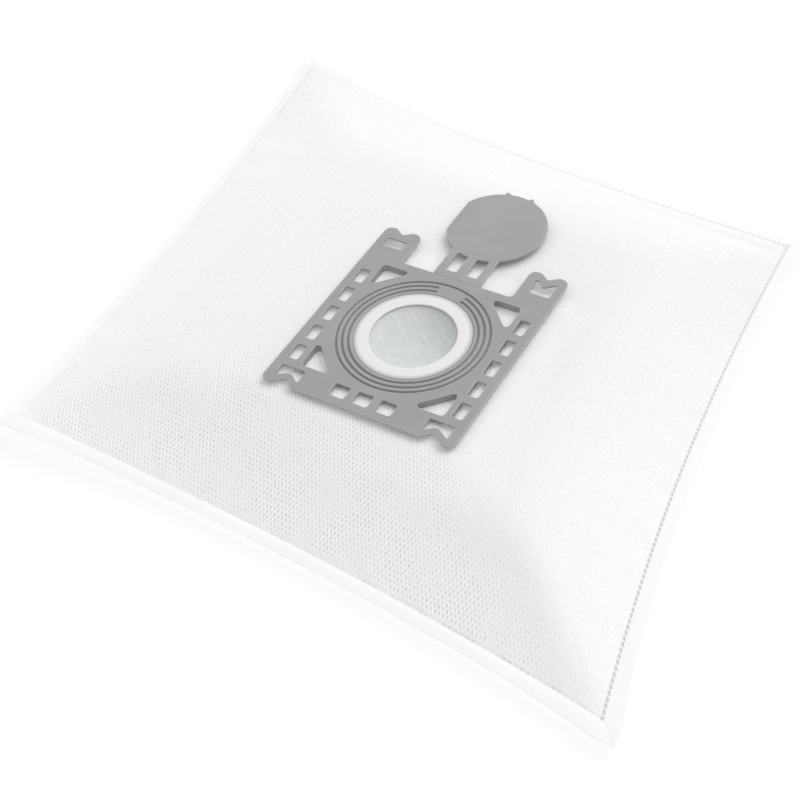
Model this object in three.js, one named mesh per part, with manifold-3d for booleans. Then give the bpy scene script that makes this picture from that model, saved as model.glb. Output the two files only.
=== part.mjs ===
// Vacuum dust bag: two fabric panels welded along four sides, with a moulded collar over the mouth
// and a closing lid that folds over on a thin hinge.
// Millimetres, +Z up. The origin is under the middle of the whole outline, X runs across the collar
// and +Y points from the mouth to the lid.

import * as THREE from 'three';
import { mergeVertices } from 'three/addons/utils/BufferGeometryUtils.js';
import Module from 'manifold-3d';

const wasm = await Module();
wasm.setup();

// Bag
const weldWidth = 300;          // between the weld lines at the corners, across the collar
const weldLength = 279;         // the same, along the collar
const weldSkew = 8;             // how far each corner lies out of square, as a limp bag does
const pullLeft = -4.3;          // how far each side is drawn in at its middle; below 0 it bows out
const pullRight = 7.8;
const pullFront = 6.8;
const pullBack = -1.7;
const flange = 7;               // smooth rim outside the weld
const panelThickness = 0.9;
const weldGap = 0.3;            // between the two panels at the weld
const seamHeight = 5;           // the weld above the surface that the bag lies on
const crownHeight = 24;         // top face of the upper panel round the collar
const shoulderRun = 52;         // from the weld to the flat crown
const shoulderStraight = 0.6;   // share of the shoulder that is straight; the rest rounds over
const bellyRun = 28;            // from the weld to the flat base
const bellyPower = 2;
const bellyReach = 3.2;         // longer belly run for each millimetre that a corner curls up
const ridgeSoftness = 10;       // rounding of the ridges that run in from the corners
const linerThickness = 0.6;
const linerInset = 9;           // from the weld to the liner's edge
const linerRise = 6;            // how far the liner bows up below the mouth
const linerDomeRadius = 78;
const linerEase = 3;            // the liner leaves the flat base this much nearer the middle
const linerRim = 0.5;           // the liner's own plain edge
const clearance = 0.3;          // between pieces that touch

// Collar, measured from the middle of the mouth
const collarX = 5;
const collarY = -20.5;
const collarWidth = 100;
const collarFoot = 52.3;        // to the lower edge
const collarHead = 40.7;        // to the hinge edge
const collarSkin = 1.2;
const collarDepth = 4;          // the thick middle, skin included
const railWidth = 10.2;         // thin rail outside the thick middle
const coreFootMargin = 13;
const coreHeadMargin = 1.8;
const coreCorner = 4;
const outerCorner = 2.6;
const smallCorner = 1;

// Ears beside the lid
const earWidth = 20;
const earHeight = 20.8;         // above the hinge edge
const earRootRadius = 2.6;
const earCorner = 3.6;
const notchCorner = 0.9;
const earNotchInset = 10;       // from the side edge to the notch's middle
const earNotchDepth = 3.3;
const earNotchHalf = 4.8;
const earWindowInset = 4;
const earWindowWidth = 11.3;
const earWindowLow = 7.4;       // above the hinge edge
const springWindowLow = 6.6;
const plainWindowHeight = 6.2;
const springWindowHeight = 10.6;
const springWindowNotch = 5.2;

// Foot hooks in the lower corners
const footNotchInset = 11.6;    // from the side edge to the notch's deepest point
const footNotchDepth = 4.2;
const footNotchInner = 4.8;     // from the deepest point to the notch's inner end
const footNotchOuter = 6.4;
const footNotchRound = 1.5;
const hookWindowInset = 4.6;
const hookWindowWidth = 12.9;
const hookWindowLow = 3.6;
const hookWindowTop = 11.5;
const hookWindowCrest = 8.2;
const hookWindowCorner = 0.5;
const hookCrestRadius = 3.4;

// Windows in the rails and in the foot
const windowCorner = 1.1;
const railWindowCount = 5;
const railWindowInset = 4;
const railWindowWidth = 5.5;
const railWindowHeight = 9.6;
const railWindowPitch = 14.1;
const railWindowFirst = 20.7;   // middle of the first, above the lower edge
const footWindowCount = 3;
const footWindowWidth = 8.2;
const footWindowHeight = 7.6;
const footWindowPitch = 12.1;
const footWindowLow = 4.2;

// Triangular pockets through the thick middle
const triangleLeg = 16.4;
const triangleInset = 12.4;     // from the side edge
const triangleFootInset = 14.3;
const triangleHeadInset = 4.3;
const triangleCorner = 2.3;
const triangleTip = 1.6;

// Mouth, grooves and sealing membrane
const mouthRadius = 25.8;
const rebateRadius = 27.8;      // shallow step that the membrane's upper flange lies in
const rebateDepth = 0.9;
const rebateLip = 0.8;          // rounding of the step's upper edge
const grooveRadii = [35.8, 33, 30.2];
const grooveWidth = 1.5;
const grooveFloor = 0.5;        // width of its flat bottom
const grooveDepth = 0.8;
const grooveBreak = [71.8, 97.8];  // degrees, where the two inner grooves stop
const seatRadius = 31.5;
const seatRoof = 1.7;           // collar left above the membrane
const membraneHole = 20.5;
const membraneSink = 0.1;       // below the collar's face
const membraneLip = 0.7;        // thickness of the free lip
const membraneWall = 1.2;
const membraneFlange = 0.8;     // thickness of the flange under the collar
const panelHoleMargin = 3.8;    // the panel's hole is wider than the membrane's

// Closing lid
const lidThickness = 1.2;
const lidDiscPlay = 0.9;        // between the disc and the mouth
const lidStretch = 0.8;         // spare length that lets the strap bend over
const lidStrapWidth = 25;
const lidFlat = 2.7;            // cut off one side of the disc
const lidNibHalfPitch = 6.6;
const lidNibWidth = 3.2;
const lidNibReach = 0.5;
const lidNibTaper = 0.4;
const lidNibCorner = 0.6;
const lidNibRoot = 3;           // how far each nib runs into the disc
const lidCorner = 0.5;
const lidWindowWidth = 6.4;
const lidWindowLength = 13.4;
const lidWindowRoot = 4.2;      // from the hinge to the windows
const lidWindowGap = 4.8;       // web between the windows
const hingeGap = 0.3;

// How far each corner of the seam has shifted from the square outline, and how far it curls up
const frontLeftShift = [-4.5, 0.6];
const frontLeftCurl = 7.2;
const backLeftShift = [-6.9, 6];
const backLeftCurl = 14.5;
const backRightShift = [-10.4, -7.9];
const backRightCurl = 5.2;
const frontRightShift = [2.4, -1.4];
const frontRightCurl = 0.3;
const seamCorners = [
  { across: -1, along: -1, shift: frontLeftShift, curl: frontLeftCurl },
  { across: -1, along: 1, shift: backLeftShift, curl: backLeftCurl },
  { across: 1, along: 1, shift: backRightShift, curl: backRightCurl },
  { across: 1, along: -1, shift: frontRightShift, curl: frontRightCurl },
];

// Places that follow from the sizes above
const collarTop = crownHeight + clearance + collarDepth;
const sideEdge = collarWidth / 2;
const hingeY = collarHead + hingeGap / 2;
const earTop = collarHead + earHeight;

const fabricWhite = new THREE.MeshStandardMaterial({ color: 0xf5f5f4, roughness: 0.9, metalness: 0 });
const linerGrey = new THREE.MeshStandardMaterial({ color: 0xcdd1cf, roughness: 0.85, metalness: 0 });
const collarGrey = new THREE.MeshStandardMaterial({ color: 0xa6a7a8, roughness: 0.5, metalness: 0 });
const membraneWhite = new THREE.MeshStandardMaterial({ color: 0xe6e7e7, roughness: 0.6, metalness: 0 });

// Solids

function solidOf(geometry) {
  const plain = geometry.clone();
  plain.deleteAttribute('normal');
  plain.deleteAttribute('uv');
  const merged = mergeVertices(plain, 1e-4);
  return new wasm.Manifold(new wasm.Mesh({
    numProp: 3,
    vertProperties: new Float32Array(merged.attributes.position.array),
    triVerts: new Uint32Array(merged.index.array),
  }));
}

function geometryOf(solid) {
  const mesh = solid.getMesh();
  const geometry = new THREE.BufferGeometry();
  geometry.setAttribute('position', new THREE.BufferAttribute(mesh.vertProperties, 3));
  geometry.setIndex(new THREE.BufferAttribute(mesh.triVerts, 1));
  geometry.computeVertexNormals();
  return geometry;
}

function prism(shape, low, high, segments) {
  const settings = { depth: high - low, bevelEnabled: false, curveSegments: segments };
  const geometry = new THREE.ExtrudeGeometry(shape, settings);
  geometry.translate(0, 0, low);
  return solidOf(geometry);
}

function turned(profile, segments) {
  const points = profile.map(([r, z]) => new THREE.Vector2(r, z));
  points.push(points[0].clone());
  const geometry = new THREE.LatheGeometry(points, segments);
  geometry.rotateX(Math.PI / 2);
  return solidOf(geometry);
}

function drum(radius, low, high, segments) {
  const geometry = new THREE.CylinderGeometry(radius, radius, high - low, segments);
  geometry.rotateX(Math.PI / 2);
  geometry.translate(0, 0, (low + high) / 2);
  return solidOf(geometry);
}

// Outlines

// A closed outline through the given corners, each [x, y, radius], with an arc at every corner.
function rounded(corners) {
  const shape = new THREE.Shape();
  corners.forEach(([x, y, radius], i) => {
    const before = corners[(i + corners.length - 1) % corners.length];
    const after = corners[(i + 1) % corners.length];
    const corner = new THREE.Vector2(x, y);
    const back = new THREE.Vector2(before[0] - x, before[1] - y).normalize();
    const ahead = new THREE.Vector2(after[0] - x, after[1] - y).normalize();
    const half = Math.acos(THREE.MathUtils.clamp(back.dot(ahead), -1, 1)) / 2;
    const run = radius / Math.tan(half);
    const centre = back.clone().add(ahead).normalize().multiplyScalar(radius / Math.sin(half)).add(corner);
    const start = back.clone().multiplyScalar(run).add(corner).sub(centre);
    const end = ahead.clone().multiplyScalar(run).add(corner).sub(centre);
    const clockwise = back.cross(ahead) > 0;
    shape.absarc(centre.x, centre.y, radius, start.angle(), end.angle(), clockwise);
  });
  return shape;
}

function window(left, low, width, height) {
  return rounded([
    [left, low, windowCorner],
    [left + width, low, windowCorner],
    [left + width, low + height, windowCorner],
    [left, low + height, windowCorner],
  ]);
}

// Mirrors a list of corners left to right and keeps its turning direction.
function mirrored(corners) {
  return corners.map(([x, y, radius]) => [-x, y, radius]).reverse();
}

function circle(radius) {
  const shape = new THREE.Shape();
  shape.absarc(0, 0, radius, 0, 2 * Math.PI, false);
  return shape;
}

// Collar plate

function collarOutline() {
  const footNotch = sideEdge - footNotchInset;
  const earNotch = sideEdge - earNotchInset;
  const rightSide = [
    [footNotch - footNotchInner, -collarFoot, footNotchRound],
    [footNotch, -collarFoot + footNotchDepth, smallCorner],
    [footNotch + footNotchOuter, -collarFoot, footNotchRound],
    [sideEdge, -collarFoot, outerCorner],
    [sideEdge, earTop, earCorner],
    [earNotch + earNotchHalf, earTop, notchCorner],
    [earNotch, earTop - earNotchDepth, smallCorner],
    [earNotch - earNotchHalf, earTop, notchCorner],
    [sideEdge - earWidth, earTop, earCorner],
    [sideEdge - earWidth, collarHead, earRootRadius],
  ];
  return rounded([...rightSide, ...mirrored(rightSide)]);
}

function hookWindow() {
  const left = -sideEdge + hookWindowInset;
  const right = left + hookWindowWidth;
  const middle = -sideEdge + footNotchInset;
  return [
    [left, -collarFoot + hookWindowLow, hookWindowCorner],
    [middle, -collarFoot + hookWindowCrest, hookCrestRadius],
    [right, -collarFoot + hookWindowLow, hookWindowCorner],
    [right, -collarFoot + hookWindowTop, windowCorner],
    [left, -collarFoot + hookWindowTop, windowCorner],
  ];
}

// The window in the right ear keeps a springy V strip between itself and the notch above it.
function springWindow() {
  const right = sideEdge - earWindowInset;
  const left = right - earWindowWidth;
  const low = collarHead + springWindowLow;
  return [
    [left, low, windowCorner],
    [right, low, windowCorner],
    [right, low + springWindowHeight, windowCorner],
    [sideEdge - earNotchInset, low + springWindowHeight - springWindowNotch, smallCorner],
    [left, low + springWindowHeight, windowCorner],
  ];
}

function skinWindows() {
  const windows = [];
  for (let i = 0; i < railWindowCount; i += 1) {
    const low = -collarFoot + railWindowFirst + i * railWindowPitch - railWindowHeight / 2;
    windows.push(window(-sideEdge + railWindowInset, low, railWindowWidth, railWindowHeight));
    windows.push(window(sideEdge - railWindowInset - railWindowWidth, low, railWindowWidth, railWindowHeight));
  }
  for (let i = 0; i < footWindowCount; i += 1) {
    const middle = (i - (footWindowCount - 1) / 2) * footWindowPitch;
    const low = -collarFoot + footWindowLow;
    windows.push(window(middle - footWindowWidth / 2, low, footWindowWidth, footWindowHeight));
  }
  windows.push(rounded(hookWindow()));
  windows.push(rounded(mirrored(hookWindow())));
  windows.push(window(-sideEdge + earWindowInset, collarHead + earWindowLow, earWindowWidth, plainWindowHeight));
  windows.push(rounded(springWindow()));
  return windows;
}

// One pocket per corner of the thick middle: acrossSign and alongSign pick the corner.
function trianglePocket(acrossSign, alongSign) {
  const edge = alongSign > 0 ? collarHead - triangleHeadInset : -collarFoot + triangleFootInset;
  const x = acrossSign * (sideEdge - triangleInset);
  const corners = [
    [x, edge, triangleCorner],
    [x - acrossSign * triangleLeg, edge, triangleTip],
    [x, edge - alongSign * triangleLeg, triangleTip],
  ];
  return rounded(acrossSign * alongSign > 0 ? corners : corners.reverse());
}

// A ring with sloping walls that run on above the face, so that it cuts the face cleanly.
function groove(radius) {
  const low = grooveFloor / 2;
  const high = grooveWidth - low;
  return turned([
    [radius - low, -grooveDepth],
    [radius + low, -grooveDepth],
    [radius + high, grooveDepth],
    [radius - high, grooveDepth],
  ], 48);
}

// The two inner grooves stop at a plain patch: this is the wedge between their ends.
function grooveBreakWedge() {
  const [from, to] = grooveBreak.map(THREE.MathUtils.degToRad);
  const wedge = new THREE.Shape();
  wedge.moveTo(0, 0);
  wedge.absarc(0, 0, grooveRadii[0] + grooveWidth, from, to, false);
  return prism(wedge, -collarDepth, collarDepth, 4);
}

function mouthCutter() {
  const below = -collarDepth - 1;
  const profile = [[0, below], [mouthRadius, below], [mouthRadius, -rebateDepth], [rebateRadius, -rebateDepth]];
  for (let i = 0; i <= 2; i += 1) {
    const turn = (i / 2) * (Math.PI / 2);
    profile.push([rebateRadius + rebateLip * (1 - Math.cos(turn)), rebateLip * (Math.sin(turn) - 1)]);
  }
  profile.push([rebateRadius + rebateLip, 1]);
  profile.push([0, 1]);
  return turned(profile, 56);
}

function collarPlate() {
  const core = rounded([
    [-sideEdge + railWidth, -collarFoot + coreFootMargin, coreCorner],
    [sideEdge - railWidth, -collarFoot + coreFootMargin, coreCorner],
    [sideEdge - railWidth, collarHead - coreHeadMargin, coreCorner],
    [-sideEdge + railWidth, collarHead - coreHeadMargin, coreCorner],
  ]);
  const outline = collarOutline();
  outline.holes = skinWindows();
  let plate = prism(outline, -collarSkin, 0, 2);
  plate = plate.add(prism(core, -collarDepth, -collarSkin / 2, 2));
  for (const across of [-1, 1]) {
    for (const along of [-1, 1]) {
      plate = plate.subtract(prism(trianglePocket(across, along), -collarDepth - 1, 1, 2));
    }
  }
  plate = plate.subtract(mouthCutter());
  plate = plate.subtract(drum(seatRadius, -collarDepth - 1, -seatRoof, 56));
  const [outerGroove, ...innerGrooves] = grooveRadii;
  plate = plate.subtract(groove(outerGroove));
  for (const radius of innerGrooves) {
    plate = plate.subtract(groove(radius).subtract(grooveBreakWedge()));
  }
  return plate;
}

// Sealing membrane: a free lip over the mouth, level with the collar's face, on a wall that grips the
// collar between an upper and a lower flange.
function sealingMembrane() {
  const top = -membraneSink;
  const outer = rebateRadius - clearance;
  const upperUnder = -rebateDepth + clearance;
  const wallOuter = mouthRadius - clearance;
  const lowerTop = -seatRoof - clearance;
  const lowerUnder = lowerTop - membraneFlange;
  const lowerOuter = seatRadius - clearance;
  const wallInner = wallOuter - membraneWall;
  const rounding = (top - upperUnder) / 2;
  return turned([
    [membraneHole, top - membraneLip],
    [wallInner, top - membraneLip],
    [wallInner, lowerUnder],
    [lowerOuter, lowerUnder],
    [lowerOuter, lowerTop],
    [wallOuter, lowerTop],
    [wallOuter, upperUnder],
    [outer, upperUnder],
    [outer, top - rounding],
    [outer - rounding, top],
    [membraneHole + rounding, top],
    [membraneHole, top - rounding],
  ], 56);
}

// Closing lid, drawn open and level with the collar's upper face.
function closureLid() {
  const discRadius = mouthRadius - lidDiscPlay;
  const discY = 2 * hingeY + lidStretch;
  const root = collarHead + hingeGap;
  const halfStrap = lidStrapWidth / 2;
  let disc = prism(circle(discRadius), -lidThickness, 0, 32);
  const nibs = [];
  for (const across of [-1, 1]) {
    const left = across * lidNibHalfPitch - lidNibWidth / 2;
    nibs.push(prism(rounded([
      [left, discRadius - lidNibRoot, lidNibTaper],
      [left + lidNibWidth, discRadius - lidNibRoot, lidNibTaper],
      [left + lidNibWidth - lidNibTaper, discRadius + lidNibReach, lidNibCorner],
      [left + lidNibTaper, discRadius + lidNibReach, lidNibCorner],
    ]), -lidThickness, 0, 2));
  }
  for (const nib of nibs) {
    disc = disc.add(nib);
  }
  const trim = new THREE.BoxGeometry(2 * lidFlat, 4 * discRadius, 4 * lidThickness);
  trim.translate(-discRadius, 0, 0);
  disc = disc.subtract(solidOf(trim)).translate([0, discY, 0]);
  const strap = rounded([
    [-halfStrap, root, lidCorner],
    [halfStrap, root, lidCorner],
    [halfStrap, discY - discRadius / 2, lidCorner],
    [-halfStrap, discY - discRadius / 2, lidCorner],
  ]);
  const windowLow = root + lidWindowRoot;
  strap.holes = [
    window(-lidWindowGap / 2 - lidWindowWidth, windowLow, lidWindowWidth, lidWindowLength),
    window(lidWindowGap / 2, windowLow, lidWindowWidth, lidWindowLength),
  ];
  return disc.add(prism(strap, -lidThickness, 0, 2));
}

// Cloth

function softMin(a, b, width) {
  const overlap = Math.max(width - Math.abs(a - b), 0) / width;
  return Math.min(a, b) - (overlap * overlap * width) / 4;
}

function rise(distance, run, power) {
  return 1 - (1 - THREE.MathUtils.clamp(distance / run, 0, 1)) ** power;
}

// From 0 at the weld to 1 at the crown: straight, then rounded over.
function shoulder(distance) {
  const part = Math.min(distance / shoulderRun, 1);
  const slope = 2 / (1 + shoulderStraight);
  const bend = slope / (2 * (1 - shoulderStraight));
  return part < shoulderStraight ? slope * part : 1 - bend * (1 - part) ** 2;
}

// Turns an even step from -1 to 1 into a place across the bag: closer steps near the weld, and the
// outermost step is the flange.
function station(step, count) {
  const inner = count - 2;
  const along = (step * count) / inner;
  const t = THREE.MathUtils.clamp(along, -1, 1);
  const outside = (Math.abs(along) - 1) * (inner / 2);
  return { place: 1.35 * t - 0.35 * t ** 3, rim: THREE.MathUtils.clamp(outside, 0, 1) };
}

// Where a place of the flat bag lies in plan and how far its seam is curled up. u and v run from -1
// to 1 between the weld lines.
function limpPlace(u, v) {
  const place = { x: 0, y: 0, lift: 0 };
  for (const corner of seamCorners) {
    const share = ((1 + corner.across * u) * (1 + corner.along * v)) / 4;
    place.x += share * ((corner.across * weldWidth) / 2 - weldSkew * corner.along + corner.shift[0]);
    place.y += share * ((corner.along * weldLength) / 2 - weldSkew * corner.across + corner.shift[1]);
    const nearness = Math.max(corner.across * u, 0) * Math.max(corner.along * v, 0);
    place.lift += corner.curl * nearness ** 2;
  }
  place.x += ((1 - v * v) * ((1 - u) * pullLeft - (1 + u) * pullRight)) / 2;
  place.y += ((1 - u * u) * ((1 - v) * pullFront - (1 + v) * pullBack)) / 2;
  return place;
}

// A panel as thick cloth over the bag's plan. heightOf gives its lower face from the distance
// inside the weld, the seam's lift and the place in plan.
function clothPanel(steps, thickness, inset, rimWidth, heightOf) {
  const geometry = new THREE.BoxGeometry(2, 2, 2, steps, steps, 1);
  const position = geometry.attributes.position;
  for (let i = 0; i < position.count; i += 1) {
    const across = station(position.getX(i), steps);
    const along = station(position.getY(i), steps);
    const u = across.place * (1 - (2 * inset) / weldWidth);
    const v = along.place * (1 - (2 * inset) / weldLength);
    const place = limpPlace(u, v);
    const x = place.x + Math.sign(u) * rimWidth * across.rim;
    const y = place.y + Math.sign(v) * rimWidth * along.rim;
    const fromSide = ((1 - Math.abs(u)) * weldWidth) / 2;
    const fromEnd = ((1 - Math.abs(v)) * weldLength) / 2;
    const inside = Math.max(softMin(fromSide, fromEnd, ridgeSoftness), 0);
    const low = heightOf(inside, place.lift, x, y);
    position.setXYZ(i, x, y, position.getZ(i) > 0 ? low + thickness : low);
  }
  return solidOf(geometry);
}

function topPanelFloor(inside, lift) {
  const weld = seamHeight + weldGap / 2 + lift;
  return weld + (crownHeight - panelThickness - weld) * shoulder(inside);
}

function bottomPanelFloor(inside, lift) {
  const weld = seamHeight - weldGap / 2 - panelThickness + lift;
  return weld * (1 - rise(inside, bellyRun + bellyReach * lift, bellyPower));
}

function linerFloor(inside, lift, x, y) {
  const bed = panelThickness + clearance;
  const reach = Math.min(Math.hypot(x - collarX, y - collarY) / linerDomeRadius, 1);
  return bottomPanelFloor(inside - linerEase, lift) + bed + linerRise * (1 - reach * reach) ** 2;
}

function bagTopPanel() {
  const hole = drum(membraneHole + panelHoleMargin, 0, 2 * crownHeight, 48);
  const panel = clothPanel(26, panelThickness, 0, flange, topPanelFloor);
  return panel.subtract(hole.translate([collarX, collarY, 0]));
}

function bagBottomPanel() {
  return clothPanel(20, panelThickness, 0, flange, bottomPanelFloor);
}

function innerLiner() {
  return clothPanel(20, linerThickness, linerInset, linerRim, linerFloor);
}

// Assembly

const bag = new THREE.Group();
const collar = new THREE.Group();
collar.position.set(collarX, collarY, collarTop);
bag.add(collar);

function addPiece(parent, name, solid, material) {
  const mesh = new THREE.Mesh(geometryOf(solid), material);
  mesh.name = name;
  parent.add(mesh);
}

addPiece(bag, 'bag_top_panel', bagTopPanel(), fabricWhite);
addPiece(bag, 'bag_bottom_panel', bagBottomPanel(), fabricWhite);
addPiece(bag, 'inner_liner', innerLiner(), linerGrey);
addPiece(collar, 'collar_plate', collarPlate(), collarGrey);
addPiece(collar, 'sealing_membrane', sealingMembrane(), membraneWhite);
addPiece(collar, 'closure_lid', closureLid(), collarGrey);

// The origin goes under the middle of the whole outline.
const outline = new THREE.Box3().setFromObject(bag);
bag.position.set(-(outline.min.x + outline.max.x) / 2, -(outline.min.y + outline.max.y) / 2, 0);

export default bag;
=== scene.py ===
"""Looks of the vacuum dust bag: two embossed white panels welded along their edges, an inner liner
seen through the mouth, and the moulded collar plate with its sealing membrane and closing lid."""

import math

import bmesh
import bpy
import numpy as np
from mathutils import Matrix, Vector, noise


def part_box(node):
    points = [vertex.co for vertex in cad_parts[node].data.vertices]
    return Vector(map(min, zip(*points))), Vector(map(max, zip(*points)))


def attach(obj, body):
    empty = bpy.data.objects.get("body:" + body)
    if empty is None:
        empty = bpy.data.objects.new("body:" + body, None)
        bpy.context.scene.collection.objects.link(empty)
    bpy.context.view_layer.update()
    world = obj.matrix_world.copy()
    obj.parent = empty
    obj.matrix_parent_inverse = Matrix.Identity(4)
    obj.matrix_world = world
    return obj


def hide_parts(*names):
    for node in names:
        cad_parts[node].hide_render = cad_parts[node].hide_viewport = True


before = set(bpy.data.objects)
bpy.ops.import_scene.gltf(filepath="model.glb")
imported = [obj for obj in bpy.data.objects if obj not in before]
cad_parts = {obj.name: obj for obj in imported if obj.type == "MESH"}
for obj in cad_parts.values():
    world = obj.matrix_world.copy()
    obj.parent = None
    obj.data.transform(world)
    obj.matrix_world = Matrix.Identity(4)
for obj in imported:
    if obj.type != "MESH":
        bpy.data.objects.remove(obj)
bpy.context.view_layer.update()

MM = 0.001  # sizes and places below are in mm, and Blender's in metres

# The bag. Flat places on the cloth are measured from its middle.
SEAM_X, SEAM_Y = 150.0, 139.5  # from the middle to the weld lines
SEAM_Z = 5.0  # height of the weld where it lies lowest
SKEW = 8.0  # how far each side is shifted along itself, out of square
FLANGE_SIDE, FLANGE_CORNER = 6.4, 8.6  # width of the rim outside the weld, mid-side and at a corner
CROWN = 24.0  # height of the upper panel under the collar
CLOTH = 0.7  # thickness of a panel
WELD_GAP = 0.3  # between the two panels at the weld
WELD_PITCH = 2.82  # from one weld dent to the next
# How far each seam corner lies from the square outline, as the limp bag does: across, along, up.
CORNERS = {
    (-1, -1): (-4.5, 0.6, 7.2),
    (-1, 1): (-6.9, 6.0, 14.5),
    (1, 1): (-10.4, -7.9, 5.2),
    (1, -1): (2.4, -1.4, 0.3),
}
PULL = {"left": -4.3, "right": 7.8, "front": 6.8, "back": -1.7}  # how far each side bows inward
RUNS = {"left": 72.0, "right": 63.0, "front": 61.0, "back": 63.0}  # from each weld to the crown
RIDGE = 0.18  # rounding of the ridges that run in from the corners, as a share of the run
SHOULDER_STRAIGHT = 0.6  # straight share of the shoulder; the rest rounds over to the crown
BOTTOM_RUN = 28.0  # from the weld in to the flat underside, where the seam isn't curled up

# The collar, with places measured from the middle of its mouth.
COLLAR_FOOT = 52.3  # down to the plate's lower edge
PLATE = (50.0, COLLAR_FOOT, 40.7)  # half width, foot and head of the plate
CORE = (39.8, COLLAR_FOOT - 13, 38.9)  # the same of its thick middle
RAIL_BULGE = 1.4  # how far the cloth rises under the plate's thin rails
TOP_HOLE = 24.6  # radius of the hole in the upper panel
# The two inner seal grooves stop at a plain patch beside the lid: degrees round the mouth from +X.
GROOVE_STOP = (71.8, 97.8)
INNER_GROOVES = (33.0, 30.2)
GROOVE_FACET = 7.5  # degrees of one straight facet of the plate's grooves
# Section of a groove: out from its radius, depth under the plate's face.
GROOVE_SECTION = [(-0.74, -0.004), (0.74, -0.004), (0.24, -0.79), (-0.24, -0.79)]
# Section of the sealing membrane from the middle of the mouth: radius, depth under the plate's face.
MEMBRANE = [
    (20.6, -0.8), (22.5, -0.85), (24.3, -0.9), (24.3, -2.8), (31.2, -2.8), (31.2, -2.0),
    (25.5, -2.0), (25.5, -0.6), (27.3, -0.6), (27.75, -0.52), (27.85, -0.4), (27.75, -0.28),
    (27.4, -0.18), (26.6, -0.12), (24.0, -0.1), (21.2, -0.1), (20.75, -0.16), (20.5, -0.4),
    (20.5, -0.65),
]
MEMBRANE_TURNS = 128

plate_low, plate_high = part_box("collar_plate")
PLATE_TOP = plate_high.z / MM
COLLAR = ((plate_low.x + plate_high.x) / 2 / MM, plate_low.y / MM + COLLAR_FOOT)
BAG = (COLLAR[0] - 5.0, COLLAR[1] + 20.5)  # middle of the welded square

# The liner.
LINER_INSET = 9.0  # from the weld in to its edge
LINER_CLOTH = 0.5
LINER_RIM, LINER_SAG = 26.6, 5.0  # height under the membrane's lip, and how far it sags inside it
CREASE_WIDTH = 0.6
# Its creases under the mouth: from, to, height. Measured from the middle of the mouth.
LINER_CREASES = [
    ((-16.0, 8.2), (6.0, -7.0), 0.26),
    ((-13.8, 16.8), (6.9, 1.7), 0.22),
    ((-2.4, 18.7), (16.3, 4.9), 0.22),
    ((-12.0, -4.0), (2.0, -14.0), 0.14),
]

# How closely the cloth's flat places lie: overall, and from, to and step of a finer stretch.
TOP_STEP, BOTTOM_STEP = 2.8, 5.0
TOP_FINE_X, TOP_FINE_Y = (-55.0, 66.0, 1.2), (-82.0, 52.0, 1.2)
RIM_STEPS = (8.6, 7.8, 6.4, 5.0, 3.6, 2.4, 1.6, 1.0, 0.5)  # outside the weld line
WELD_STEPS = (0.5, 1.0, 1.6, 2.4, 3.4, 4.6, 6.0, 7.6, 9.4, 11.4, 13.6, 16.0)  # inside it

# The looks.
# The emboss is a sum of three waves: waves per mm, across and along.
LATTICE = ((-0.5, 0.255), (0.502, 0.215), (0.002, 0.47))
DIMPLE_DEPTH, DENT_DEPTH, FIBRE_RELIEF = 0.22, 0.3, 0.10
# Tones of the cloth: the edge and left-slope tones are painted light, the dent tone is partly painted
# shade.
EDGE_PAINTED_LIGHT_TONE, FILLED_TONE, BACK_TONE, LEFT_PAINTED_LIGHT_TONE, FLUFF_TONE = 0.93, 0.88, 0.885, 0.96, 0.87
FLANGE_TONE, DENT_TONE_AND_SHADE = 0.90, 0.45
LINER_DARK, LINER_LIGHT = (0.60, 0.625, 0.615, 1), (0.645, 0.67, 0.66, 1)
PLATE_TONE, LID_TONE = 0.345, 0.35
LIP_TONE = 0.5  # where the plate's lip and the membrane meet


def make_camera():
    """A long lens from the front right, slightly rolled, as the photograph was taken."""
    right = Vector((0.855447, 0.507207, -0.104652))
    down = Vector((0.314109, -0.668801, -0.673825))
    ahead = Vector((-0.411760, 0.543549, -0.731442))
    place = Vector((BAG[0] + 274.379, BAG[1] - 393.354, 479.505)) * MM
    data = bpy.data.cameras.new("camera")
    data.sensor_width = 36
    data.lens = 63
    data.clip_start = 0.01
    data.clip_end = 50
    camera = bpy.data.objects.new("camera", data)
    turn = Matrix((right, -down, -ahead)).transposed()
    camera.matrix_world = Matrix.Translation(place) @ turn.to_4x4()
    bpy.context.scene.collection.objects.link(camera)
    bpy.context.scene.camera = camera


# Materials


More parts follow.
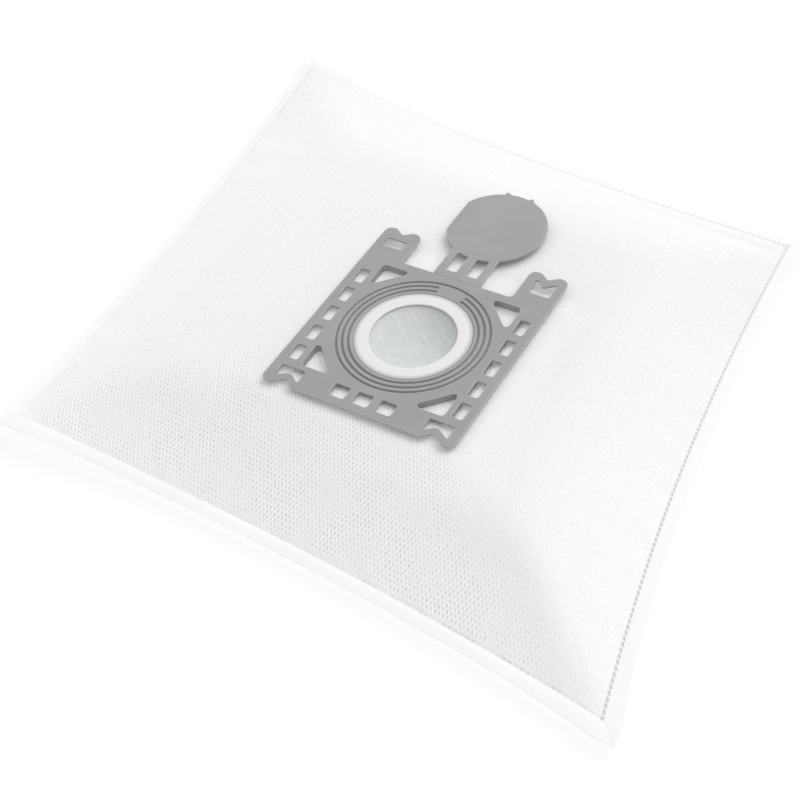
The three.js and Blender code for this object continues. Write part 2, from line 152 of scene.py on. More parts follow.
class Net:
    """A small helper for building node materials."""

    def __init__(self, name):
        self.material = bpy.data.materials.new(name)
        self.material.use_nodes = True
        self.tree = self.material.node_tree
        self.shader = self.tree.nodes["Principled BSDF"]

    def add(self, kind, inputs=(), **settings):
        node = self.tree.nodes.new(kind)
        for key, value in settings.items():
            setattr(node, key, value)
        for key, value in dict(inputs).items():
            self.put(node.inputs[key], value)
        return node

    def put(self, socket, value):
        if isinstance(value, bpy.types.NodeSocket):
            self.tree.links.new(value, socket)
        else:
            socket.default_value = value

    def math(self, operation, a, b=0.0):
        return self.add("ShaderNodeMath", {0: a, 1: b}, operation=operation).outputs[0]

    def times(self, first, *others):
        for other in others:
            first = self.math("MULTIPLY", first, other)
        return first

    def plus(self, first, *others):
        for other in others:
            first = self.math("ADD", first, other)
        return first

    def minus(self, a, b):
        return self.math("SUBTRACT", a, b)

    def size(self, value):
        return self.math("ABSOLUTE", value)

    def step(self, value, low, high, to_low=0.0, to_high=1.0):
        """A smooth step from to_low, where the value is low, to to_high, where it is high."""
        node = self.add("ShaderNodeMapRange", interpolation_type="SMOOTHSTEP", clamp=True)
        for socket, number in zip(node.inputs[:5], (value, low, high, to_low, to_high)):
            self.put(socket, number)
        return node.outputs[0]

    def fall(self, value, low, high):
        """A smooth step down, from 1 to 0."""
        return self.step(value, low, high, 1.0, 0.0)

    def side(self, value, below, above):
        """One number where the value is under 0 and another where it is over."""
        over = self.math("GREATER_THAN", value, 0.0)
        return self.plus(below, self.times(self.minus(above, below), over))

    def noise(self, vector, scale, detail=2.0, roughness=0.5):
        settings = {"Vector": vector, "Scale": scale, "Detail": detail, "Roughness": roughness}
        return self.add("ShaderNodeTexNoise", settings).outputs["Fac"]

    def blend(self, factor, a, b):
        return self.add("ShaderNodeMix", {0: factor, 6: a, 7: b}, data_type="RGBA").outputs[2]

    def scaled(self, vector, amount):
        node = self.add("ShaderNodeVectorMath", {0: vector, 3: amount}, operation="SCALE")
        return node.outputs[0]

    def parts(self, vector):
        """The x, y and z of a vector."""
        return self.add("ShaderNodeSeparateXYZ", {0: vector}).outputs

    def bevelled(self, radius, samples):
        return self.add("ShaderNodeBevel", {"Radius": radius * MM}, samples=samples).outputs[0]

    def bump(self, height, distance, normal=None):
        node = self.add("ShaderNodeBump", {"Height": height, "Distance": distance, "Strength": 1.0})
        if normal is not None:
            self.put(node.inputs["Normal"], normal)
        return node.outputs[0]

    def shade(self, **values):
        for key, value in values.items():
            self.put(self.shader.inputs[key.replace("_", " ")], value)


def grey(value):
    return (value, value, value, 1.0)


def flat_places(net):
    """The cloth's own flat coordinates in mm, from its UV map: together, across and along."""
    place = net.scaled(net.add("ShaderNodeUVMap", uv_map="flat").outputs[0], 1 / MM)
    x, y, _ = net.parts(place)
    return place, x, y


def object_places(net):
    """The place in mm. All pieces have their origin at the middle of the ground."""
    return net.scaled(net.add("ShaderNodeTexCoord").outputs["Object"], 1 / MM)


def emboss(net, place, x, y):
    """A lattice of small pressed ovals 2 mm apart in staggered rows: its soft wave, and 1 in a
    dimple with 0 between."""
    wander = net.minus(net.noise(place, 0.4, 2.0), 0.5)
    x = net.plus(x, net.times(wander, 1.0))
    y = net.plus(y, net.times(wander, -0.8))
    waves = []
    for per_x, per_y in LATTICE:
        turns = net.plus(net.times(x, math.tau * per_x), net.times(y, math.tau * per_y))
        waves.append(net.math("COSINE", turns))
    total = net.plus(waves[0], waves[1], net.times(waves[2], 0.35))
    return total, net.step(total, -0.3, 2.1)


def emboss_shows(net, x, y):
    """How well the emboss is kept: most on the front slope, less on the crown and elsewhere."""
    front = net.step(y, -110.0, -20.0, 1.0, 0.3)
    corner = SEAM_X - SEAM_Y
    return net.times(front, net.step(net.plus(x, y), corner - 60.0, corner, 1.0, 0.22))


def emboss_wear(net, place, shows, textured):
    """How strong the emboss is here, worn in patches and in small spots."""
    patches = net.step(net.noise(place, 0.045, 2.0), 0.35, 0.65, 0.55, 1.0)
    spots = net.step(net.noise(place, 0.42, 2.0, 0.6), 0.3, 0.62, 0.3, 1.0)
    return net.times(spots, net.times(patches, shows), textured)


def weld_line(net, across, along, half_across, half_along):
    """Dents along one pair of weld lines: 1 in a dent and 0 beside it."""
    outside = net.minus(net.size(across), half_across)
    band = net.fall(net.size(outside), 0.3, 0.7)
    ends = net.fall(net.size(along), half_along + 0.6, half_along + 1.2)
    slanted = net.plus(along, net.times(outside, 0.25))
    pitch = net.math("FRACT", net.math("DIVIDE", slanted, WELD_PITCH))
    dent = net.fall(net.size(net.minus(pitch, 0.5)), 0.28, 0.37)
    return net.times(band, ends, dent)


def weld_dents_and_side_shade(net, place, x, y):
    """The dents of all four welds, strongest on the right and faintest at the front left: a side
    weighting of painted shade, which also sets how deep their bump is.
    """
    broken = net.step(net.noise(place, 0.12, 2.0), 0.42, 0.6, 0.35, 1.0)
    left = net.times(net.step(y, -30.0, 110.0, 0.08, 0.45), broken)
    right = net.step(y, -60.0, 139.0, 1.0, 0.62)
    front = net.times(net.step(x, -60.0, 150.0, 0.24, 0.65), broken)
    back = net.step(x, -150.0, 150.0, 0.12, 0.45)
    dents_x = net.times(weld_line(net, x, y, SEAM_X, SEAM_Y), net.side(x, left, right))
    dents_y = net.times(weld_line(net, y, x, SEAM_Y, SEAM_X), net.side(y, front, back))
    return net.math("MAXIMUM", dents_x, dents_y)


def cloth_tone_and_painted_light(net, place, x, y, outside):
    """The cloth's grey with painted light in it: lighter at the thin edges than over the filling, as
    if the bright ground shone through, but evenly grey towards the back, and lighter on the left
    slope."""
    depth = net.times(outside, -1.0)
    # Painted light: lighter towards the thin edges.
    cloth = net.blend(net.step(depth, 0.0, 70.0), grey(EDGE_PAINTED_LIGHT_TONE), grey(FILLED_TONE))
    cloth = net.blend(net.step(y, 40.0, 110.0), cloth, grey(BACK_TONE))
    # Painted light: the left slope is lighter.
    left = net.times(net.fall(x, -140.0, -60.0), net.step(y, 60.0, 130.0, 1.0, 0.4))
    left = net.times(left, net.step(y, -139.0, -80.0))
    cloth = net.blend(left, cloth, grey(LEFT_PAINTED_LIGHT_TONE))
    fluff = net.noise(place, 0.35, 3.0, 0.6)
    return net.blend(net.times(net.step(fluff, 0.35, 0.7), 0.25), cloth, grey(FLUFF_TONE))


def cloth_shade(net, place, x, y, relief, shows, textured):
    """How much darker than its tone the cloth is: on the far right, in the emboss's dimples, partly
    their own grey and partly painted shade, and where the fibres clump, which shows most where the
    emboss doesn't."""
    far_right = net.times(net.step(x, -10.0, 60.0), net.step(y, -60.0, 20.0))
    far_right = net.times(far_right, net.fall(y, 95.0, 135.0))
    clumps = net.minus(net.noise(place, 0.5, 2.0, 0.7), 0.5)
    uneven = net.times(textured, net.minus(1.0, net.times(shows, 0.8)))
    # Partly painted shade: the emboss is darker in its dimples.
    shade = net.plus(net.times(far_right, 0.03), net.times(relief, 0.10))
    return net.plus(shade, net.times(clumps, uneven, 0.19))


def under_collar(net):
    """1 under the plate and its ears, and 0 from their outer edge on. Each pair is where that edge
    fades, across from the middle line or up from the plate's foot."""
    plate_side, plate_foot, ear_top = (48.5, 50.0), (0.0, 1.5), (107.0, 114.0)
    plate_head, strap_side, ear_side = (92.0, 93.5), (12.5, 14.5), (31.0, 33.0)
    x, y, _ = net.parts(object_places(net))
    across = net.size(net.minus(x, COLLAR[0]))
    along = net.minus(y, COLLAR[1] - COLLAR_FOOT)
    inside = net.times(net.fall(across, *plate_side), net.step(along, *plate_foot))
    inside = net.times(inside, net.fall(along, *ear_top))
    # Between the ears and the lid's strap it lies open.
    beyond = net.step(along, *plate_head)
    open_cloth = net.times(net.step(across, *strap_side), net.fall(across, *ear_side))
    return net.times(inside, net.minus(1.0, net.times(beyond, open_cloth)))


def painted_glow(net, x, y, out_x, out_y, outside):
    """Painted light, as a glow: on the single flange, where it stands in for the bright ground
    shining through, on its cut edge, and on the cloth under the collar, which lifts the shade seen in
    its windows."""
    front = net.step(outside, 1.0, 8.0, 0.12, 0.105)
    left = net.step(outside, 1.0, 8.0, 0.07, 0.12)
    right, back = 0.03, 0.0
    on_end = net.math("GREATER_THAN", out_y, out_x)
    on_side = net.minus(1.0, on_end)
    glow_y = net.times(net.side(y, front, back), on_end)
    glow_x = net.times(net.side(x, left, right), on_side)
    flange = net.times(net.step(outside, 0.3, 1.6), net.plus(glow_y, glow_x))
    cut_edge = net.step(outside, 8.2, 8.6, 0.0, 0.25)
    return net.plus(flange, cut_edge, net.times(under_collar(net), 0.1))


def fabric_material():
    net = Net("bag_fabric")
    place, x, y = flat_places(net)
    out_x, out_y = net.minus(net.size(x), SEAM_X), net.minus(net.size(y), SEAM_Y)
    outside = net.math("MAXIMUM", out_x, out_y)
    # The rim outside the weld is pressed smooth.
    textured = net.fall(outside, -2.2, -0.4)
    wave, dimples = emboss(net, place, x, y)
    shows = emboss_shows(net, x, y)
    worn = emboss_wear(net, place, shows, textured)
    dents = weld_dents_and_side_shade(net, place, x, y)
    fibres = net.noise(place, 2.6, 4.0, 0.65)

    cloth = cloth_tone_and_painted_light(net, place, x, y, outside)
    shade = cloth_shade(net, place, x, y, net.times(wave, worn), shows, textured)
    cloth = net.scaled(cloth, net.minus(1.0, shade))
    cloth = net.blend(net.step(outside, 0.6, 1.6), cloth, grey(FLANGE_TONE))
    # Painted shade in the weld dents, over their own greyer film, weighted by side.
    cloth = net.blend(net.times(dents, 0.5), cloth, grey(DENT_TONE_AND_SHADE))

    height = net.times(fibres, FIBRE_RELIEF)
    height = net.minus(height, net.times(dimples, worn, DIMPLE_DEPTH))
    height = net.minus(height, net.times(dents, DENT_DEPTH))
    net.shade(
        Base_Color=cloth,
        Roughness=net.step(fibres, 0.3, 0.7, 0.82, 0.95),
        Normal=net.bump(height, MM),
        Emission_Color=grey(1.0),
        Emission_Strength=painted_glow(net, x, y, out_x, out_y, outside),
        Sheen_Weight=0.35,
        Sheen_Roughness=0.6,
        Specular_IOR_Level=0.15,
    )
    # The faint glow isn't worth sampling as a light.
    net.material.cycles.emission_sampling = "NONE"
    return net.material


def liner_material():
    net = Net("liner_fabric")
    place, _, _ = flat_places(net)
    fibres = net.noise(place, 1.6, 4.0, 0.65)
    clumps = net.noise(place, 0.22, 3.0, 0.55)
    colour = net.blend(net.step(clumps, 0.3, 0.7), LINER_DARK, LINER_LIGHT)
    # Under the lip on the far right it lies in shadow.
    x, y, _ = net.parts(object_places(net))
    shadow = net.step(net.plus(x, y), sum(COLLAR) + 2.0, sum(COLLAR) + 28.0, 1.02, 0.86)
    height = net.plus(net.times(fibres, 0.10), net.times(clumps, 0.25))
    net.shade(
        Base_Color=net.scaled(colour, shadow),
        Roughness=0.85,
        Normal=net.bump(height, MM),
        Sheen_Weight=0.1,
        Specular_IOR_Level=0.2,
    )
    return net.material


def from_mouth(net, place):
    """Across and along from the middle of the mouth, and the height."""
    x, y, z = net.parts(place)
    return net.minus(x, COLLAR[0]), net.minus(y, COLLAR[1]), z


def mouth_radius(net, across, along):
    square = net.plus(net.times(across, across), net.times(along, along))
    return net.math("SQRT", square)


def between_grooves(net, across, along, radius):
    """1 on the plain patch between the ends of the two inner seal grooves, and 0 beside it."""
    low, high = (1 / math.tan(math.radians(angle)) for angle in reversed(GROOVE_STOP))
    slope = net.math("DIVIDE", across, net.math("MAXIMUM", along, 1.0))
    above, below = net.math("GREATER_THAN", slope, low), net.math("LESS_THAN", slope, high)
    patch = net.times(above, below, net.math("GREATER_THAN", along, 1.0))
    patch = net.times(patch, net.fall(radius, 34.2, 34.4))
    return net.times(patch, net.step(radius, 28.9, 29.1))


def plastic_material(name, tone):
    net = Net(name)
    place = object_places(net)
    across, along, height = from_mouth(net, place)
    radius = mouth_radius(net, across, along)
    plain = between_grooves(net, across, along, radius)
    grain = net.noise(place, 3.2, 3.0, 0.6)
    cloud = net.noise(place, 0.05, 2.0)
    colour = net.blend(net.step(cloud, 0.35, 0.65), grey(tone * 0.97), grey(tone * 1.03))
    # Painted highlight: the moulded edges are lighter, as where their rounding catches the light.
    face = net.add("ShaderNodeNewGeometry").outputs["True Normal"]
    turned = {0: net.bevelled(0.9, samples=8), 1: face}
    facing = net.add("ShaderNodeVectorMath", turned, operation="DOT_PRODUCT").outputs["Value"]
    edge = net.fall(facing, 0.76, 0.98)
    edge = net.times(edge, net.minus(0.8, net.times(plain, 0.8)))
    colour = net.blend(edge, colour, grey(tone * 1.9))
    # Round the mouth the lip pales towards the membrane, and painted shade darkens the grooves.
    colour = net.blend(net.step(radius, 27.8, 29.6, 0.18, 0.0), colour, grey(LIP_TONE))
    ring = net.times(net.step(radius, 29.2, 29.3), net.fall(radius, 37.0, 37.1))
    below = net.fall(height, PLATE_TOP - 0.5, PLATE_TOP - 0.08)
    colour = net.blend(net.times(ring, below, 0.65), colour, grey(tone * 0.6))
    normals = {0: plain, 4: net.bevelled(0.35, samples=6), 5: face}
    normal = net.add("ShaderNodeMix", normals, data_type="VECTOR").outputs[1]
    net.shade(
        Base_Color=colour,
        Roughness=net.step(grain, 0.3, 0.7, 0.42, 0.54),
        Normal=net.bump(grain, 0.02 * MM, normal),
        Specular_IOR_Level=0.4,
    )
    return net.material


def membrane_material():
    """White rubber that greys off towards its outer rim, where it runs in under the plate's lip."""
    net = Net("membrane_rubber")
    place = object_places(net)
    grain = net.noise(place, 2.0, 3.0, 0.6)
    across, along, _ = from_mouth(net, place)
    radius = mouth_radius(net, across, along)
    white = net.blend(net.step(grain, 0.3, 0.7), grey(0.78), grey(0.82))
    net.shade(
        Base_Color=net.blend(net.step(radius, 25.2, 27.8), white, grey(LIP_TONE)),
        Roughness=net.step(grain, 0.3, 0.7, 0.5, 0.62),
        Normal=net.bump(grain, 0.03 * MM, net.bevelled(0.4, samples=6)),
        Specular_IOR_Level=0.35,
    )
    return net.material


# The plan of the cloth


def smooth(t):
    t = np.clip(t, 0, 1)
    return t * t * (3 - 2 * t)


def soft_min(a, b, width):
    overlap = np.maximum(width - np.abs(a - b), 0) / width
    return np.minimum(a, b) - overlap**2 * width / 4


def rise(distance, run):
    """From 0 to 1 over the run, steep at first."""
    return 1 - (1 - np.clip(distance / run, 0, 1)) ** 2


def shoulder(share):
    """From 0 at the weld to 1 at the crown: straight, then rounded over."""
    share = np.clip(share, 0, 1)
    slope = 2 / (1 + SHOULDER_STRAIGHT)
    bend = slope / (2 * (1 - SHOULDER_STRAIGHT))
    return np.where(share < SHOULDER_STRAIGHT, slope * share, 1 - bend * (1 - share) ** 2)


def stations(half, step, fine=None):
    """Flat places across the cloth: close together at the weld lines, even between them, and finer
    in the stretch that is given as (from, to, step)."""
    inner = half - WELD_STEPS[-1]
    stretches = [(-inner, inner, step)]
    if fine:
        stretches = [(-inner, fine[0], step), fine, (fine[1], inner, step)]
    middle = [-inner]
    for start, end, spacing in stretches:
        middle.extend(np.linspace(start, end, int(round((end - start) / spacing)) + 1)[1:])
    low = [-half - d for d in RIM_STEPS] + [-half] + [-half + d for d in WELD_STEPS[:-1]]
    return np.concatenate([low, middle, [-v for v in reversed(low)]])


def liner_stations(half, fine, counts):
    """Flat places across the liner, closer together in the fine stretch under the mouth."""
    start, end = fine
    before, within, after = counts
    edge_side, far_side = np.linspace(-half, start - 2, before), np.linspace(end + 2, half, after)
    return np.concatenate([edge_side, np.linspace(start, end, within), far_side])


def seam_corner(u_sign, v_sign):
    dx, dy, _ = CORNERS[(u_sign, v_sign)]
    x = BAG[0] + u_sign * SEAM_X - SKEW * v_sign + dx
    y = BAG[1] + v_sign * SEAM_Y - SKEW * u_sign + dy
    return np.array([x, y])


def side_curve(start, end, t, pull, inward):
    s = ((t + 1) / 2)[..., None]
    return start * (1 - s) + end * s + (1 - t**2)[..., None] * np.array(inward) * pull


def plan(flat_x, flat_y):
    """Where a flat place of the cloth lies in plan, and its share of the way to each weld."""
    u = np.clip(flat_x / SEAM_X, -1, 1)
    v = np.clip(flat_y / SEAM_Y, -1, 1)
    left_front, left_back = seam_corner(-1, -1), seam_corner(-1, 1)
    right_front, right_back = seam_corner(1, -1), seam_corner(1, 1)
    left = side_curve(left_front, left_back, v, PULL["left"], (1, 0))
    right = side_curve(right_front, right_back, v, PULL["right"], (-1, 0))
    front = side_curve(left_front, right_front, u, PULL["front"], (0, 1))
    back = side_curve(left_back, right_back, u, PULL["back"], (0, -1))
    a, b = ((u + 1) / 2)[..., None], ((v + 1) / 2)[..., None]
    corners = (1 - a) * (1 - b) * left_front + a * (1 - b) * right_front
    corners = corners + (1 - a) * b * left_back + a * b * right_back
    place = (1 - a) * left + a * right + (1 - b) * front + b * back - corners
    out_x, out_y = flat_x - u * SEAM_X, flat_y - v * SEAM_Y
    width = FLANGE_SIDE + (FLANGE_CORNER - FLANGE_SIDE) * np.minimum(np.abs(u), np.abs(v)) ** 6
    shrink = width / FLANGE_CORNER
    return place[..., 0] + out_x * shrink, place[..., 1] + out_y * shrink, u, v


def inside_distance(flat_x, flat_y, softness):
    """How far a place lies inside the nearest weld, rounded where two welds are as near."""
    side = SEAM_X - np.abs(flat_x)
    end = SEAM_Y - np.abs(flat_y)
    return np.maximum(soft_min(side, end, softness), 0)


def shoulder_share(flat_x, flat_y):
    """How far a place lies between the nearest weld, at 0, and the crown, at 1."""
    side = (SEAM_X - np.abs(flat_x)) / np.where(flat_x < 0, RUNS["left"], RUNS["right"])
    end = (SEAM_Y - np.abs(flat_y)) / np.where(flat_y < 0, RUNS["front"], RUNS["back"])
    return np.maximum(soft_min(side, end, RIDGE), 0)


def mouth_distance(x, y):
    return np.hypot(x - COLLAR[0], y - COLLAR[1])


def box_distance(x, y, half, foot, head):
    """Distance in plan outside a rectangle that is placed from the middle of the mouth."""
    dx = np.maximum(np.abs(x - COLLAR[0]) - half, 0)
    dy = np.maximum(np.maximum(COLLAR[1] - foot - y, y - COLLAR[1] - head), 0)
    return np.hypot(dx, dy)


# The heights of the cloth


def lift(u, v):
    """How far the seam is off the ground beyond SEAM_Z: the corners curl up."""
    total = np.zeros_like(u)
    for (a, b), (_, _, dz) in CORNERS.items():
        total += dz * np.clip(a * u, 0, 1) ** 2 * np.clip(b * v, 0, 1) ** 2
    return total


def ripple(x, y, size, seed):
    """Seeded soft noise over the plan, about -1 to 1."""
    out = np.empty(x.shape)
    for i in np.ndindex(x.shape):
        out[i] = noise.noise(Vector((x[i] / size, y[i] / size, seed)))
    return out


def seam_height(x, y, u, v, outside):
    """Middle height of the weld and the flange: the flange sags a little towards its cut edge."""
    out = np.clip(outside / FLANGE_CORNER, 0, 1)
    sag = 0.9 * out**2
    wave = 0.5 * ripple(x, y, 34.0, 3.1) * out
    return SEAM_Z + lift(u, v) - sag + wave


def cloth_thickness(outside):
    """The flange is pressed thin towards its cut edge."""
    return CLOTH * (1 - 0.75 * smooth(outside / FLANGE_CORNER))


def weld_pucker(flat_x, flat_y, inside):
    """Fine folds that run in from the weld lines and die out on the shoulder."""
    near_side = np.abs(np.abs(flat_x) - SEAM_X) < np.abs(np.abs(flat_y) - SEAM_Y)
    along = np.where(near_side, flat_y, flat_x)
    seed = np.where(near_side, np.sign(flat_x) * 3 + 7, np.sign(flat_y) * 5 + 20)
    fold = np.zeros_like(along)
    for i in np.ndindex(along.shape):
        fold[i] = noise.noise(Vector((along[i] / 11.0, inside[i] / 60.0, seed[i])))
    strength = smooth(inside / 4.0) * np.exp(-inside / 16.0)
    return fold * strength


def top_heights(x, y, u, v, flat_x, flat_y, outside):
    inside = inside_distance(flat_x, flat_y, 10.0)
    seam = seam_height(x, y, u, v, outside) + WELD_GAP / 2
    up = shoulder(shoulder_share(flat_x, flat_y))
    lower = seam * (1 - up) + (CROWN - CLOTH) * up
    # It rolls softly, but lies still round the collar.
    still = smooth((mouth_distance(x, y) - 62) / 30)
    rolling = smooth(inside / 30.0)
    lower += 0.6 * weld_pucker(flat_x, flat_y, inside)
    lower += 0.2 * ripple(x, y, 60.0, 8.3) * rolling * still
    # A soft crease beside the back weld, towards the right corner.
    fold = np.exp(-(((SEAM_Y - flat_y) - 8.0 - 0.03 * (SEAM_X - flat_x)) / 2.6) ** 2)
    lower -= 0.9 * fold * smooth((flat_x - 40) / 60) * smooth((SEAM_X - flat_x) / 12)
    # The plate's rails press the crown flat.
    from_plate = box_distance(x, y, *PLATE)
    near_plate = smooth((10 - from_plate) / 10)
    lower = lower * (1 - near_plate) + (CROWN - CLOTH) * near_plate
    # Outside the thick middle it rises towards the thin rails.
    from_core = box_distance(x, y, *CORE)
    lower += RAIL_BULGE * smooth((from_core + 0.6) / 3.2) * smooth((16 - from_plate) / 14)
    pressed = 0.04 * np.exp(-((outside / 1.1) ** 2))
    return lower + cloth_thickness(outside) - pressed, lower


def bottom_heights(x, y, u, v, flat_x, flat_y, outside):
    inside = inside_distance(flat_x, flat_y, 16.0)
    seam = seam_height(x, y, u, v, outside) - WELD_GAP / 2
    run = BOTTOM_RUN + 3.2 * lift(u, v)
    down = rise(inside, run)
    upper = seam * (1 - down) + CLOTH * down
    return upper, upper - cloth_thickness(outside)


def liner_heights(x, y, u, v, flat_x, flat_y, outside):
    base, _ = bottom_heights(x, y, u, v, flat_x, flat_y, outside)
    distance = mouth_distance(x, y)
    dome = (1 - np.clip((distance - 18) / 60, 0, 1) ** 2) ** 2
    inside = inside_distance(flat_x, flat_y, 14.0)
    lower = base + 0.4 + 21.4 * dome * smooth((inside - 10) / 30)
    # It rises through the hole in the upper panel to the membrane's lip, and sags between.
    in_hole = smooth((24.4 - distance) / 3.2)
    sag = LINER_SAG * (1 - np.clip(distance / 21, 0, 1) ** 2)
    lower = lower * (1 - in_hole) + (LINER_RIM - sag) * in_hole
    for start, end, amount in LINER_CREASES:
        lower += amount * crease(x - COLLAR[0], y - COLLAR[1], start, end) * in_hole
    lower += 0.12 * ripple(x, y, 7.0, 14.7) * in_hole
    return lower + LINER_CLOTH, lower


def crease(x, y, start, end):
    """1 along the line from start to end and 0 beside it, dying out at both ends."""
    run = np.subtract(end, start)
    length = np.hypot(*run)
    along = ((x - start[0]) * run[0] + (y - start[1]) * run[1]) / length
    across = ((y - start[1]) * run[0] - (x - start[0]) * run[1]) / length
    across = across - 0.5 * np.sin(along / 4.0)
    ends = smooth((along + 4) / 8) * smooth((length + 4 - along) / 8)
    return np.exp(-((across / CREASE_WIDTH) ** 2)) * ends


# Pieces


def clean_up(piece):
    work = bmesh.new()
    work.from_mesh(piece.data)
    loose = [v for v in work.verts if not v.link_faces]
    bmesh.ops.delete(work, geom=loose, context="VERTS")
    bmesh.ops.recalc_face_normals(work, faces=work.faces)
    work.to_mesh(piece.data)
    work.free()


def add_piece(name, mesh):
    piece = bpy.data.objects.new(name, mesh)
    bpy.context.scene.collection.objects.link(piece)
    clean_up(piece)
    return piece


def cut_hole(x, y, hole):
    """The cells of the grid that stay round the hole, and the places with its edge drawn round."""
    centre_x = (x[1:, 1:] + x[:-1, :-1]) / 2
    centre_y = (y[1:, 1:] + y[:-1, :-1]) / 2
    keep = mouth_distance(centre_x, centre_y) > hole
    used = np.zeros(x.shape, int)
    for di, dj in ((0, 0), (0, 1), (1, 0), (1, 1)):
        used[di : di + keep.shape[0], dj : dj + keep.shape[1]] += keep
    edge = (used > 0) & (used < 4) & (mouth_distance(x, y) < hole * 1.5)
    angle = np.arctan2(y - COLLAR[1], x - COLLAR[0])
    x = np.where(edge, COLLAR[0] + hole * np.cos(angle), x)
    y = np.where(edge, COLLAR[1] + hole * np.sin(angle), y)
    return keep, x, y


def sheet_faces(shape, keep):
    """The faces of both sides of a sheet over the grid, and of the walls along its open edges."""
    count = shape[0] * shape[1]
    index = np.arange(count).reshape(shape)
    a, b, c, d = index[:-1, :-1], index[1:, :-1], index[1:, 1:], index[:-1, 1:]
    quads = np.stack([a, b, c, d], -1)[keep]
    faces = [tuple(q) for q in quads] + [tuple(q[::-1] + count) for q in quads]
    edges = {}
    for q in quads:
        for i in range(4):
            edges[(q[i], q[(i + 1) % 4])] = True
    for start, end in edges:
        if (end, start) not in edges:
            faces.append((start, start + count, end + count, end))
    return [tuple(int(i) for i in face) for face in faces]


def cloth_mesh(name, xs, ys, heights, hole=None):
    """A closed sheet from its upper and lower surfaces over a grid of flat places."""
    flat_x, flat_y = np.meshgrid(xs, ys, indexing="ij")
    x, y, u, v = plan(flat_x, flat_y)
    outside = np.maximum(np.abs(flat_x) - SEAM_X, np.abs(flat_y) - SEAM_Y)
    upper, lower = heights(x, y, u, v, flat_x, flat_y, outside)
    keep = np.ones((len(xs) - 1, len(ys) - 1), bool)
    if hole is not None:
        keep, x, y = cut_hole(x, y, hole)
    verts = np.concatenate([np.stack([x, y, z], -1).reshape(-1, 3) for z in (upper, lower)])
    flat = np.stack([flat_x, flat_y], -1).reshape(-1, 2) * MM
    flat = np.concatenate([flat, flat])
    mesh = bpy.data.meshes.new(name)
    mesh.from_pydata((verts * MM).tolist(), [], sheet_faces(x.shape, keep))
    layer = mesh.uv_layers.new(name="flat")
    corner_verts = np.empty(len(mesh.loops), np.int32)
    mesh.loops.foreach_get("vertex_index", corner_verts)
    layer.data.foreach_set("uv", flat[corner_verts].ravel())
    mesh.polygons.foreach_set("use_smooth", [True] * len(mesh.polygons))
    mesh.update()
    return add_piece(name, mesh)


def make_cloth():
    fabric = fabric_material()
    top_x, top_y = stations(SEAM_X, TOP_STEP, TOP_FINE_X), stations(SEAM_Y, TOP_STEP, TOP_FINE_Y)
    top = cloth_mesh("bag_top", top_x, top_y, top_heights, hole=TOP_HOLE)
    bottom_x, bottom_y = stations(SEAM_X, BOTTOM_STEP), stations(SEAM_Y, BOTTOM_STEP)
    bottom = cloth_mesh("bag_bottom", bottom_x, bottom_y, bottom_heights)
    liner_x = liner_stations(SEAM_X - LINER_INSET, (-30, 38), (36, 115, 33))
    liner_y = liner_stations(SEAM_Y - LINER_INSET, (-56, 14), (25, 117, 39))
    liner = cloth_mesh("liner", liner_x, liner_y, liner_heights)
    looks = (
        (top, fabric, "bag_fabric"),
        (bottom, fabric, "bag_fabric"),
        (liner, liner_material(), "liner_fabric"),
    )
    for piece, material, slot in looks:
        piece.data.materials.append(material)
        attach(piece, "bag")
    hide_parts("bag_top_panel")
    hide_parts("bag_bottom_panel")
    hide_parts("inner_liner")


def round_mouth(radius, angle, depth):
    """A place in metres, from its radius and angle round the mouth and depth under the face."""
    x, y = COLLAR[0] + radius * math.cos(angle), COLLAR[1] + radius * math.sin(angle)
    return (x * MM, y * MM, (PLATE_TOP + depth) * MM)


def joined(first, second, corners):
    """The faces between two sections that start at these two vertices."""
    for j in range(corners):
        k = (j + 1) % corners
        yield (first + j, second + j, second + k, first + k)


def make_membrane():
    """The membrane turned finely, with a soft outer edge that lies against the plate's lip."""
    corners = len(MEMBRANE)
    verts, faces = [], []
    for i in range(MEMBRANE_TURNS):
        angle = 2 * math.pi * i / MEMBRANE_TURNS
        verts.extend(round_mouth(radius, angle, depth) for radius, depth in MEMBRANE)
        faces.extend(joined(i * corners, (i + 1) % MEMBRANE_TURNS * corners, corners))
    mesh = bpy.data.meshes.new("membrane")
    mesh.from_pydata(verts, [], faces)
    mesh.polygons.foreach_set("use_smooth", [True] * len(faces))
    mesh.materials.append(membrane_material())
    piece = add_piece("membrane", mesh)
    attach(piece, "bag")
    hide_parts("sealing_membrane")


def facet_share(angle):
    """How far a straight facet of the plate's grooves lies in from the true circle, as a share."""
    half_facet = GROOVE_FACET / 2
    return math.cos(math.radians(half_facet)) / math.cos(
        math.radians(angle % GROOVE_FACET - half_facet)
    )


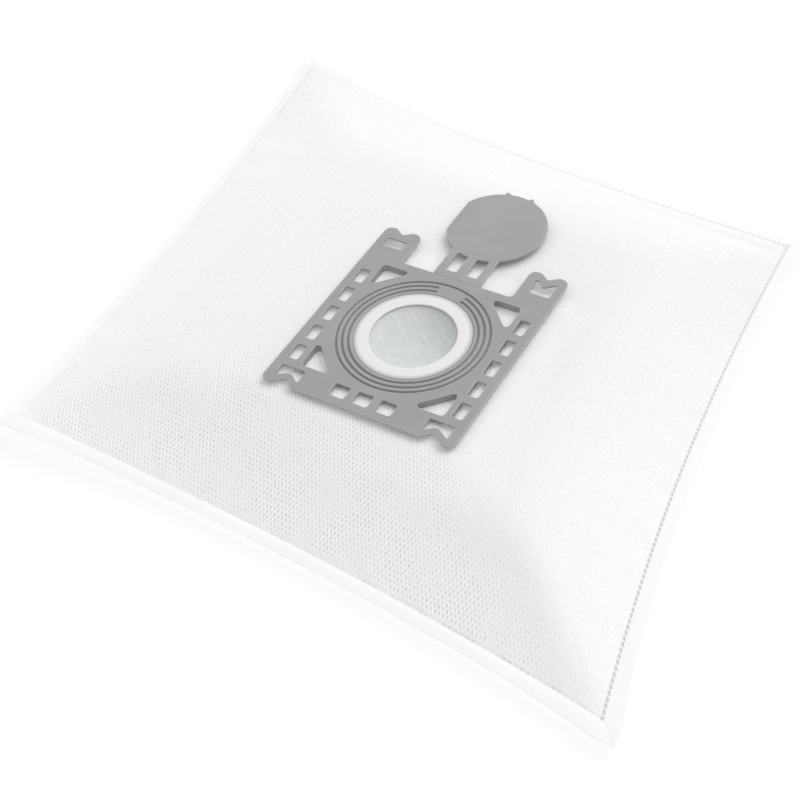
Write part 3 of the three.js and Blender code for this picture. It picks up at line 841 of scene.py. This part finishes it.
def make_groove_stops(material):
    """The plastic between the ends of the two inner seal grooves, which run on in the CAD's plate."""
    first, last = GROOVE_STOP
    bends = np.arange(math.ceil(first / GROOVE_FACET), last / GROOVE_FACET) * GROOVE_FACET
    corners = len(GROOVE_SECTION)
    verts, faces = [], []
    for radius in INNER_GROOVES:
        start = len(verts)
        for angle in (first, *bends, last):
            for aside, depth in GROOVE_SECTION:
                reach = (radius + aside) * facet_share(angle)
                verts.append(round_mouth(reach, math.radians(angle), depth))
        end = len(verts) - corners
        for at in range(start, end, corners):
            faces.extend(joined(at, at + corners, corners))
        faces.append(tuple(range(start, start + corners)))
        faces.append(tuple(range(end, end + corners)))
    mesh = bpy.data.meshes.new("groove_stops")
    mesh.from_pydata(verts, [], faces)
    mesh.materials.append(material)
    piece = add_piece("groove_stops", mesh)
    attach(piece, "bag")


def dress_nodes():
    looks = {
        "collar_plate": plastic_material("collar_plastic", PLATE_TONE),
        "closure_lid": plastic_material("lid_plastic", LID_TONE),
    }
    for name, material in looks.items():
        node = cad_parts[name]
        node.data.materials.clear()
        node.data.materials.append(material)
    make_groove_stops(looks["collar_plate"])


# Studio, in metres and watts


def make_studio():
    """A lit white ground that fades into a white world, and one soft light from the back right."""
    bpy.ops.mesh.primitive_plane_add(size=6, location=(0, 0, -0.0004))
    floor = bpy.context.object
    floor.name = "floor"
    net = Net("floor_white")
    net.shade(Base_Color=grey(0.25), Roughness=1.0, Specular_IOR_Level=0.0)
    net.shade(Emission_Color=grey(1.0), Emission_Strength=0.76)
    floor.data.materials.append(net.material)
    world = bpy.data.worlds.new("studio")
    bpy.context.scene.world = world
    world.use_nodes = True
    background = world.node_tree.nodes["Background"]
    background.inputs["Color"].default_value = grey(1)
    background.inputs["Strength"].default_value = 0.74
    add_light("key", place=(0.65, 1.45, 1.55), size=2.0, power=24)
    bpy.context.scene.view_settings.view_transform = "Standard"


def add_light(name, place, size, power):
    """A round soft light that is aimed at the bag."""
    data = bpy.data.lights.new(name, "AREA")
    data.shape = "DISK"
    data.size = size
    data.energy = power
    light = bpy.data.objects.new(name, data)
    light.location = place
    aim = Vector(place) - Vector((0, 0, 0.02))
    light.rotation_euler = aim.to_track_quat("Z", "Y").to_euler()
    bpy.context.scene.collection.objects.link(light)


make_camera()
make_cloth()
make_membrane()
dress_nodes()
make_studio()
